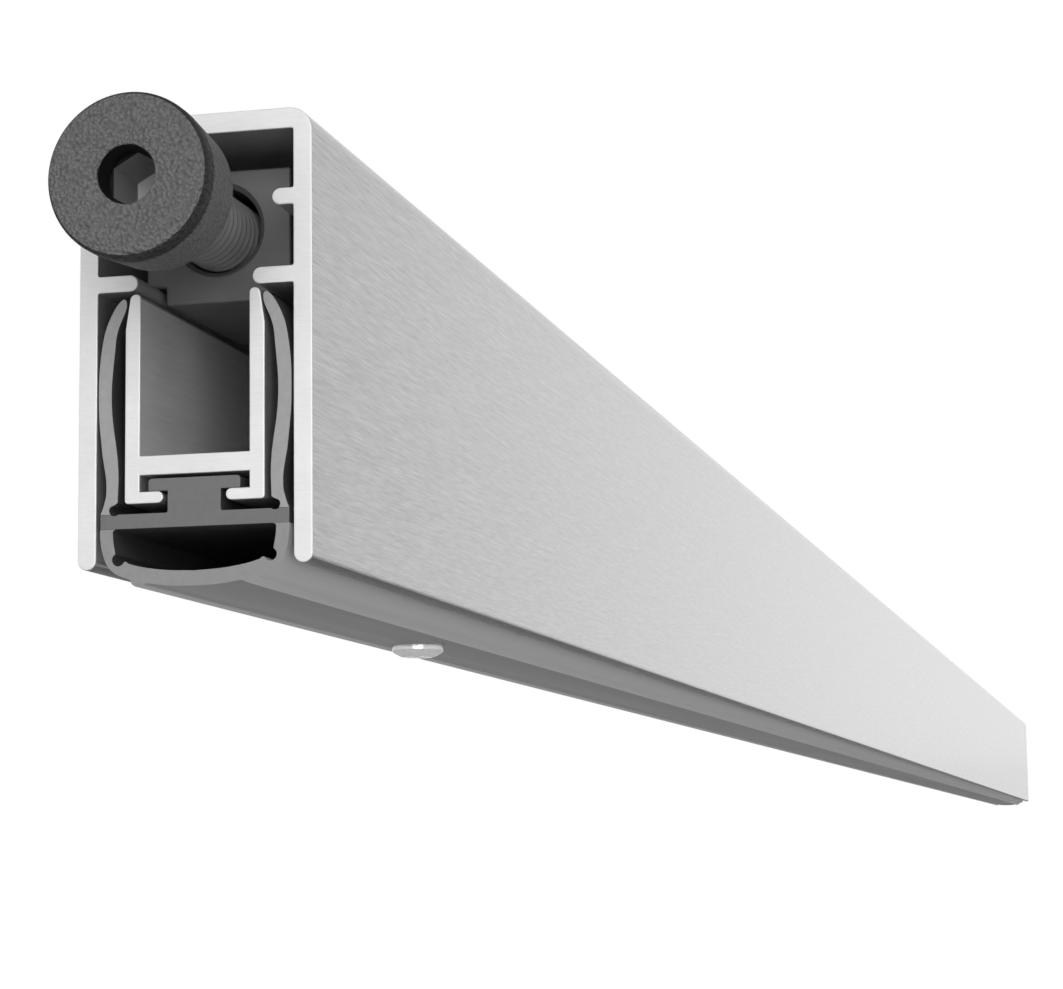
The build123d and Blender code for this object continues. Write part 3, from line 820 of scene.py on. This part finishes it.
class DOORSEAL_OT_seal(bpy.types.Operator):
    """Draw the seal's firm core and its softer lips and bulb, and pull them to length"""

    bl_idname = "door_seal.seal"
    bl_label = "Seal"

    def execute(self, context):
        sizes = context.scene.door_seal_seal
        carrier = context.scene.door_seal_carrier
        inner_half = housing_high.y - context.scene.door_seal_housing.wall
        head_low = carrier_low.z + carrier.hook
        head_top = head_low + sizes.head
        plate_top = carrier_low.z - sizes.plate_gap
        plate_low = plate_top - sizes.plate
        half = inner_half - sizes.side_gap
        lip_out = inner_half - sizes.lip_gap
        pocket = half - 0.9 * mm

        # Core: head in the slot, stem and plate, with the bottoms of the lips' pockets in the plate
        head_half = sizes.head_width / 2
        stem_half = sizes.stem / 2
        dip = plate_top - 0.08 * mm
        section = [
            (0, head_top),
            (head_half, head_top),
            (head_half, head_low),
            (stem_half, head_low),
            (stem_half, plate_top),
            (pocket - 0.24 * mm, plate_top),
            (pocket - 0.12 * mm, dip),
            (pocket + 0.12 * mm, dip),
            (pocket + 0.24 * mm, plate_top),
            (half, plate_top),
            (half, plate_low),
            (0, plate_low),
        ]
        corners = [
            (head_half, head_top, 0.24 * mm, 5),
            (head_half, head_low, 0.1 * mm, 3),
            (stem_half, plate_top, 0.12 * mm, 3),
        ]
        core = pull_section("seal_core", section, corners)

        # Lips: each bows out to the housing and back in over the carrier, with a round pocket at its foot
        tip = carrier_high.y - carrier.taper + 0.24 * mm
        lip_points = [
            *spots(half, plate_top, (0, 0, True), (-0.18, 0.45), (-0.38, 1.4)),
            *spots(lip_out, plate_top, (-0.22, 4.0), (0, 6.9), (-0.22, 10.5), (-0.6, 11.9)),
            *spots(tip, seal_high.z, (0.36, -0.07), (0.15, 0), (0, -0.22)),
            *spots(lip_out, plate_top, (-1.18, 11.2), (-1.04, 10.1), (-0.84, 6.9), (-1.3, 2.7)),
            *spots(pocket, plate_top, (-0.22, 0.72, True), (0, 0.57), (0.25, 0.46), (0.33, 0.22)),
            *spots(pocket, plate_top, (0.24, 0, True)),
        ]
        lips = draw_curve("seal_lips", lip_points, True)
        fill_and_pull(lips, (length, 0, 0))
        mirror(lips)
        edit(lips)
        face_outwards()

        # Bulb: a hollow foot with two nibs and a round groove in each lower corner of the hollow
        low = plate_low - sizes.bulb
        floor = low + sizes.bulb_wall
        groove = half - 1.19 * mm
        hollow = half - 0.83 * mm
        bulb_points = [
            *spots(0, low, (0, 0), (1.6, 0.06)),
            *spots(sizes.nib, low, (-0.58, 0.25, True), (-0.34, 0.14), (0, 0.04), (0.34, 0.2)),
            *spots(sizes.nib, low, (0.48, 0.47, True)),
            *spots(half, plate_low, (-0.72, -2.52), (-0.24, -1.7), (0, -0.4), (0, 0, True)),
            *spots(hollow, plate_low, (-0.2, 0, True), (-0.02, -0.1), (0, -0.35)),
            *spots(groove, floor, (0.2, 1.16, True), (0.36, 1.0), (0.4, 0.76), (0.26, 0.51)),
            *spots(groove, floor, (0, 0.42), (-0.26, 0.52), (-0.42, 0.68), (-0.7, 0.54)),
            *spots(0, floor, (2.2, 0.14), (0, 0)),
        ]
        bulb = draw_curve("seal_bulb", bulb_points, False)
        mirror(bulb)
        fill_and_pull(bulb, (length, 0, 0))
        head = context.scene.door_seal_lock_screw
        recess = 3.0 * mm
        silicone_rim = 0.04 * mm
        place = ((lock_low.x + lock_high.x) / 2, 0, lock_low.z + head.head_height - recess / 2)
        cut_with(bulb, bpy.ops.mesh.primitive_cylinder_add, vertices=72,
                 radius=head.head_radius + 0.05 * mm, depth=recess, location=place)

        # Cut ends are paler than the skin; the core and lips get near black painted shade on their skin,
        # the bulb gets painted light on and outside its nibs and painted shade across its belly, and faces
        # towards the hollow get painted shade
        def choose(centre, normal):
            if cut_end(normal):
                return 0
            towards_hollow = centre.y * normal.y + (centre.z - (plate_low + floor) / 2) * normal.z < 0
            return 2 if towards_hollow else 1
        for piece, finish, skin in (
            (core, "silicone core", "silicone with painted shade"),
            (lips, "silicone lips", "silicone with painted shade"),
            (bulb, "silicone bulb", "silicone with painted light"),
        ):
            break_rims(piece, silicone_rim)
            smooth(piece, 40)
            dress(piece, finish, skin, "silicone with painted shade")
            finish_faces(piece, choose)
            hand_over(piece, "carrier", "silicone", "seal")
        return {"FINISHED"}


class DOORSEAL_OT_knob(bpy.types.Operator):
    """Draw the knob's outline, round it and spin it"""

    bl_idname = "door_seal.knob"
    bl_label = "Plunger knob"

    def execute(self, context):
        sizes = context.scene.door_seal_plunger
        face = knob_low.x
        back = knob_high.x
        seat = rod_low.x
        radius = (knob_high.z - knob_low.z) / 2
        hole = axis + sizes.key_hole
        rim = axis + radius
        bore = axis + 2.5 * mm
        disc_back = face + sizes.disc
        groove_back = disc_back + sizes.groove
        shoulder = rim - 0.03 * mm
        collar = axis + sizes.collar
        outline = [
            (face, hole),
            (face, rim),
            (disc_back, rim),
            (disc_back + sizes.groove * 0.4, rim - sizes.groove),
            (groove_back, shoulder),
            (back, collar),
            (back, bore),
            (seat, bore),
            (seat, hole),
            (face, hole),
        ]
        piece = draw_line("knob", [(x, 0, z) for x, z in outline])
        edit(piece)
        weld()
        leave()
        round_points(piece, [
            (face, rim, 0.5 * mm, 7),
            (face, hole, 0.14 * mm, 3),
            (disc_back, rim, 0.1 * mm, 3),
            (groove_back, shoulder, 0.1 * mm, 3),
            (back, collar, 0.28 * mm, 4),
        ])
        turn(piece, (0, 0, axis), (1, 0, 0), 112)
        smooth(piece)
        dress(piece, "grained black plastic", "smooth plastic with painted shade", "grained plastic with painted shade")

        def choose(centre, normal):
            reach = hypot(centre.y, centre.z - axis)
            # Painted shade: near black in the key hole
            if reach < sizes.key_hole + tiny and centre.x > face + 0.1 * mm:
                return 1
            # Painted shade on the side of the disc
            near_rim = reach > radius - 0.35 * mm
            on_side = near_rim and face + 0.12 * mm < centre.x < disc_back + sizes.groove * 0.5
            return 2 if on_side else 0
        finish_faces(piece, choose)
        hand_over(piece, "plunger", "black_plastic", "plunger_knob")
        return {"FINISHED"}


class DOORSEAL_OT_rod(bpy.types.Operator):
    """Model the rod with its hexagon socket and wind its thread"""

    bl_idname = "door_seal.rod"
    bl_label = "Threaded rod"

    def execute(self, context):
        sizes = context.scene.door_seal_plunger
        front = rod_low.x
        tip = rod_high.x
        radius = sizes.rod
        core = radius - sizes.thread_depth
        shank_end = knob_high.x + sizes.shank
        end_chamfer = 0.5 * mm
        socket_point = 0.7 * mm
        along_x = (pi / 2, 0, pi / 2)

        piece = add_shape(bpy.ops.mesh.primitive_cylinder_add, vertices=72, radius=radius,
                          depth=shank_end - front, location=((front + shank_end) / 2, 0, axis),
                          rotation=along_x)
        piece.name = "rod"
        edit(piece)
        pick(piece, "FACE", lambda centre, normal: normal.x > 0.99)
        bpy.ops.mesh.inset(thickness=sizes.thread_depth)
        for step in (tip - end_chamfer - shank_end, end_chamfer):
            extrude((step, 0, 0))
        bpy.ops.transform.resize(value=(1, 0.76, 0.76))
        leave()

        reach = sizes.key_size / 2 / cos(radians(30))
        socket = add_shape(bpy.ops.mesh.primitive_cylinder_add, vertices=6, radius=reach,
                           depth=2 * sizes.key_depth, location=(front, 0, axis), rotation=along_x)
        edit(socket)
        pick(socket, "FACE", lambda centre, normal: normal.x > 0.99)
        extrude((socket_point, 0, 0))
        bpy.ops.transform.resize(value=(1, 0.1, 0.1))
        leave()
        cut(piece, socket)
        smooth(piece, 30)

        # Thread: one ridge wound round the rod and closed at both ends
        turns = int((tip - shank_end) / sizes.pitch)
        crest = axis + (radius - 0.01 * mm)
        root = axis + core - 0.06 * mm
        begin = shank_end - sizes.pitch * 0.9
        profile = ((0, root), (0.42, crest), (0.54, crest), (0.96, root))
        ridge = draw_line("rod_thread", [(begin + sizes.pitch * share, 0, z) for share, z in profile])
        lift(ridge, -axis)
        edit(ridge)
        bpy.ops.mesh.edge_face_add()
        bpy.ops.mesh.delete(type="ONLY_FACE")
        leave()
        modify(ridge, "SCREW", axis="X", screw_offset=sizes.pitch, iterations=turns, steps=40,
               render_steps=40)
        lift(ridge, axis)
        edit(ridge)
        bpy.ops.mesh.select_all(action="DESELECT")
        bpy.ops.mesh.select_mode(type="EDGE")
        bpy.ops.mesh.select_non_manifold()
        bpy.ops.mesh.fill_holes(sides=0)
        face_outwards()
        smooth(ridge, 40, weighted=False)

        # The socket's walls get painted light, a paler copy of the rod's steel, and the rod's front face at
        # the key hole's bottom gets black painted shade
        def choose(centre, normal):
            if centre.x < front + tiny:
                return 1
            in_socket = hypot(centre.y, centre.z - axis) < reach and centre.x < front + sizes.key_depth + mm
            return 2 if in_socket else 0
        for part in (piece, ridge):
            dress(part, "dull steel", "smooth plastic with painted shade", "steel with painted light")
            finish_faces(part, choose)
            hand_over(part, "plunger", "dark_steel", "plunger_screw")
        return {"FINISHED"}


class DOORSEAL_OT_guide(bpy.types.Operator):
    """Draw the guide block from the side, pull it to width, add its tongue and bore it"""

    bl_idname = "door_seal.guide"
    bl_label = "Guide block"

    def execute(self, context):
        sizes = context.scene.door_seal_guide
        housing = context.scene.door_seal_housing
        half = guide_high.y
        low = bottom + housing.long_rib + housing.rib
        step_x = guide_low.x + sizes.front
        step_z = guide_high.z - sizes.front_drop
        outline = [
            (guide_low.x, low),
            (guide_low.x, step_z),
            (step_x, step_z),
            (step_x, guide_high.z),
            (guide_high.x, guide_high.z),
            (guide_high.x, low),
        ]
        piece = draw_line("guide_bearing", [(x, -half, z) for x, z in outline])
        fill_and_pull(piece, (0, 2 * half, 0))
        edit(piece)
        for side in (-1, 1):
            bpy.ops.mesh.select_all(action="SELECT")
            bpy.ops.mesh.bisect(plane_co=(0, side * sizes.tongue_half, 0), plane_no=(0, 1, 0))

        def under_tongue(centre, normal):
            return normal.z < -0.99 and abs(centre.y) < sizes.tongue_half / 2
        pick(piece, "FACE", under_tongue)
        extrude((0, 0, guide_low.z - low))
        leave()
        modify(piece, "BEVEL", width=sizes.edge, segments=3, limit_method="ANGLE", angle_limit=radians(40))
        hole_z = axis + sizes.hole_lift
        along_x = (0, pi / 2, 0)
        cut_with(piece, bpy.ops.mesh.primitive_cylinder_add, vertices=96, radius=sizes.hole, depth=30 * mm,
                 location=((guide_low.x + guide_high.x) / 2, 0, hole_z), rotation=along_x)
        mouth = 0.4 * mm
        cut_with(piece, bpy.ops.mesh.primitive_cone_add, vertices=96, radius1=sizes.funnel + mouth,
                 radius2=sizes.funnel - mouth, depth=2 * mouth, location=(guide_low.x, 0, hole_z),
                 rotation=along_x)
        smooth(piece)
        dress(piece, "grey plastic")
        hand_over(piece, "housing", "grey_plastic", "guide_block")
        return {"FINISHED"}


class DOORSEAL_OT_lock_screw(bpy.types.Operator):
    """Draw the lock screw's outline, spin it and cut its cross recess"""

    bl_idname = "door_seal.lock_screw"
    bl_label = "Seal lock screw"

    def execute(self, context):
        sizes = context.scene.door_seal_lock_screw
        centre = (lock_low.x + lock_high.x) / 2
        low, high = lock_low.z, lock_high.z
        seat = low + sizes.head_height
        flat = sizes.head_radius * 0.64
        recess_depth = 0.95 * mm
        outline = [
            (0, low),
            (flat, low),
            (sizes.head_radius, low + sizes.chamfer),
            (sizes.head_radius, seat),
            (sizes.shank_radius, seat),
            (sizes.shank_radius, high - sizes.shank_radius),
            (0, high),
        ]
        piece = draw_line("lock_screw", [(centre + r, 0, z) for r, z in outline])
        round_points(piece, [
            (centre + flat, low, 0.2 * mm, 5),
            (centre + sizes.head_radius, low + sizes.chamfer, 0.12 * mm, 4),
            (centre + sizes.head_radius, seat, 0.08 * mm, 3),
        ])
        turn(piece, (centre, 0, 0), (0, 0, 1), 72)
        for angle in (60, 150):
            clear_selection()
            turned = (0, 0, radians(angle))
            bpy.ops.mesh.primitive_cube_add(size=1, location=(centre, 0, low), rotation=turned)
            wing = bpy.context.object
            wing.scale = (sizes.reach, sizes.wing, 2 * recess_depth)
            settle()
            edit(wing)
            pick(wing, "FACE", lambda middle, normal: normal.z > 0.99)
            bpy.ops.transform.resize(value=(0.45, 0.45, 1))
            leave()
            cut(piece, wing)
        smooth(piece, 30)
        dress(piece, "nickel plate")
        hand_over(piece, "carrier", "zinc_plated_steel", "seal_lock_screw")
        return {"FINISHED"}


class DOORSEAL_OT_springs(bpy.types.Operator):
    """Bend the halves of both leaf springs at one fixed bow; the real springs bow deeper as the carrier
    drops
    """

    bl_idname = "door_seal.springs"
    bl_label = "Leaf springs"

    def execute(self, context):
        sizes = context.scene.door_seal_springs
        ease = 6 * mm
        ease_drop = 0.06 * mm
        for end in ("front", "rear"):
            low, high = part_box(f"leaf_spring_{end}")
            middle = (low.x + high.x) / 2
            flat_z = low.z + sizes.thickness
            reach = (high.x - low.x) / 2
            outline = [
                (0, flat_z, True),
                (sizes.flat, flat_z, True),
                (sizes.flat + ease, flat_z + ease_drop, False),
                ((sizes.flat + reach - sizes.tab) / 2, (flat_z + high.z) / 2, False),
                (reach - sizes.tab - ease, high.z - ease_drop, False),
                (reach - sizes.tab, high.z, True),
                (reach, high.z, True),
            ]
            for side, name in ((1, "anchor"), (-1, "slider")):
                points = [((middle + side * x, -sizes.width / 2, z), corner) for x, z, corner in outline]
                piece = draw_curve(f"leaf_{end}_{name}", points, False, sizes.steps // 4)
                edit(piece)
                extrude((0, sizes.width, 0))
                face_outwards()
                up = sum(face.normal.z * face.area for face in piece.data.polygons) > 0
                modify(piece, "SOLIDIFY", thickness=sizes.thickness, offset=-1.0 if up else 1.0)
                modify(piece, "BEVEL", width=0.08 * mm, segments=2, limit_method="ANGLE",
                       angle_limit=radians(60))
                smooth(piece)
                dress(piece, "spring steel")
                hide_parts(f"leaf_spring_{end}")
                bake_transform(piece)
        return {"FINISHED"}


class DOORSEAL_OT_hidden_parts(bpy.types.Operator):
    """Give the mechanism's CAD parts their finishes"""

    bl_idname = "door_seal.hidden_parts"
    bl_label = "Mechanism finishes"

    def execute(self, context):
        finishes = {
            "grey plastic": ("thread_block", "anchor", "slider", "saddle_front", "saddle_rear"),
            "strip steel": ("push_bar", "bar_pin"),
            "rivet aluminium": ("roof_rivet",),
            "zinc plate": ("leaf_rivet", "saddle_rivet"),
        }
        for finish, starts in finishes.items():
            for name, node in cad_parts.items():
                if name.startswith(starts):
                    dress(node, finish)
        return {"FINISHED"}


class DOORSEAL_OT_stage(bpy.types.Operator):
    """Lay the floor and set the light and the camera"""

    bl_idname = "door_seal.stage"
    bl_label = "Stage"

    def execute(self, context):
        sizes = context.scene.door_seal_stage
        floor = add_shape(bpy.ops.mesh.primitive_grid_add, x_subdivisions=8, y_subdivisions=8, size=40,
                          location=(0, 0, sizes.floor))
        floor.name = "floor"
        paper = bpy.data.materials.new("white paper")
        paper.use_nodes = True
        tree = paper.node_tree
        shader = tree.nodes["Principled BSDF"]
        place = tree.nodes.new("ShaderNodeTexCoord")
        reach = add_node(tree, "VectorMath", {0: place.outputs["Object"]})
        reach.operation = "LENGTH"
        # Near the seal the floor keeps its shadow, and further out it fades into white
        paleness = between(tree, reach.outputs["Value"], sizes.paper, 1.0, 1.3, 1.8)
        glow = add(tree, direct_rays(tree), paleness, "MULTIPLY")
        set_inputs(tree, shader, {
            "Base Color": (0.8, 0.8, 0.8, 1),
            "Roughness": 0.9,
            "Emission Color": (1, 1, 1, 1),
            "Emission Strength": glow,
        })
        dress(floor, "white paper")

        world = bpy.data.worlds.new("white room")
        context.scene.world = world
        world.use_nodes = True
        tree = world.node_tree
        straight = direct_rays(tree)
        # The room is white up to the height of its walls and greyer overhead
        place = tree.nodes.new("ShaderNodeTexCoord")
        up = direction(tree, place.outputs["Generated"], "Z")
        ceiling = between(tree, up, 1.0, sizes.overhead, 0.35, 0.8)
        shown = add(tree, straight, ceiling, "MULTIPLY")
        hidden = between(tree, straight, sizes.sky, 0.0, 0.0, 1.0)
        strength = add(tree, shown, hidden)
        set_inputs(tree, tree.nodes["Background"], {"Color": (1, 1, 1, 1), "Strength": strength})

        lamps = (
            ("key", sizes.key, (-1.45, -0.3, 0.15), 0.9),
            ("sheen", sizes.sheen, (1.2, -0.28, 0.22), 0.42),
        )
        target = Vector((-0.35, 0, -0.01))
        for name, power, place, width in lamps:
            clear_selection()
            aim = (target - Vector(place)).to_track_quat("-Z", "Y").to_euler()
            bpy.ops.object.light_add(type="AREA", location=place, rotation=aim)
            lamp = bpy.context.object
            lamp.name = f"lamp_{name}"
            lamp.data.shape = "SQUARE"
            lamp.data.size = width
            lamp.data.energy = power

        clear_selection()
        bpy.ops.object.camera_add(
            location=(-0.57005, -0.05679, -0.04573),
            rotation=(radians(97.5875), radians(0.7535), radians(-76.8799)),
        )
        camera = bpy.context.object
        camera.name = "camera"
        camera.data.lens = sizes.lens
        camera.data.sensor_width = 36
        camera.data.sensor_fit = "HORIZONTAL"
        camera.data.clip_start = 0.01
        camera.data.clip_end = 100
        context.scene.camera = camera
        context.scene.view_settings.view_transform = "Standard"
        return {"FINISHED"}


settings = {
    "door_seal_housing": HousingSettings,
    "door_seal_carrier": CarrierSettings,
    "door_seal_seal": SealSettings,
    "door_seal_plunger": PlungerSettings,
    "door_seal_guide": GuideSettings,
    "door_seal_lock_screw": LockScrewSettings,
    "door_seal_springs": SpringSettings,
    "door_seal_metal": MetalSettings,
    "door_seal_stage": StageSettings,
}
operators = (
    DOORSEAL_OT_stage,
    DOORSEAL_OT_finishes,
    DOORSEAL_OT_housing,
    DOORSEAL_OT_carrier,
    DOORSEAL_OT_seal,
    DOORSEAL_OT_knob,
    DOORSEAL_OT_rod,
    DOORSEAL_OT_guide,
    DOORSEAL_OT_lock_screw,
    DOORSEAL_OT_springs,
    DOORSEAL_OT_hidden_parts,
)


class DOORSEAL_PT_pieces(bpy.types.Panel):
    """The door seal's pieces and their sizes"""

    bl_idname = "DOORSEAL_PT_pieces"
    bl_label = "Door Seal"
    bl_space_type = "VIEW_3D"
    bl_region_type = "UI"
    bl_category = "Door Seal"

    def draw(self, context):
        column = self.layout.column()
        for operator in operators:
            column.operator(operator.bl_idname)
        for name, group in settings.items():
            box = self.layout.box()
            box.label(text=group.__doc__)
            for key in group.__annotations__:
                box.prop(getattr(context.scene, name), key)


def register():
    for name, group in settings.items():
        bpy.utils.register_class(group)
        setattr(bpy.types.Scene, name, PointerProperty(type=group))
    for operator in operators:
        bpy.utils.register_class(operator)
    bpy.utils.register_class(DOORSEAL_PT_pieces)


def unregister():
    bpy.utils.unregister_class(DOORSEAL_PT_pieces)
    for operator in reversed(operators):
        bpy.utils.unregister_class(operator)
    for name, group in settings.items():
        delattr(bpy.types.Scene, name)
        bpy.utils.unregister_class(group)


def main():
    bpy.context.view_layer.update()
    register()
    bpy.ops.door_seal.stage()
    bpy.ops.door_seal.finishes()
    bpy.ops.door_seal.housing()
    bpy.ops.door_seal.carrier()
    bpy.ops.door_seal.seal()
    bpy.ops.door_seal.knob()
    bpy.ops.door_seal.rod()
    bpy.ops.door_seal.guide()
    bpy.ops.door_seal.lock_screw()
    bpy.ops.door_seal.springs()
    bpy.ops.door_seal.hidden_parts()


if __name__ == "__main__":
    main()
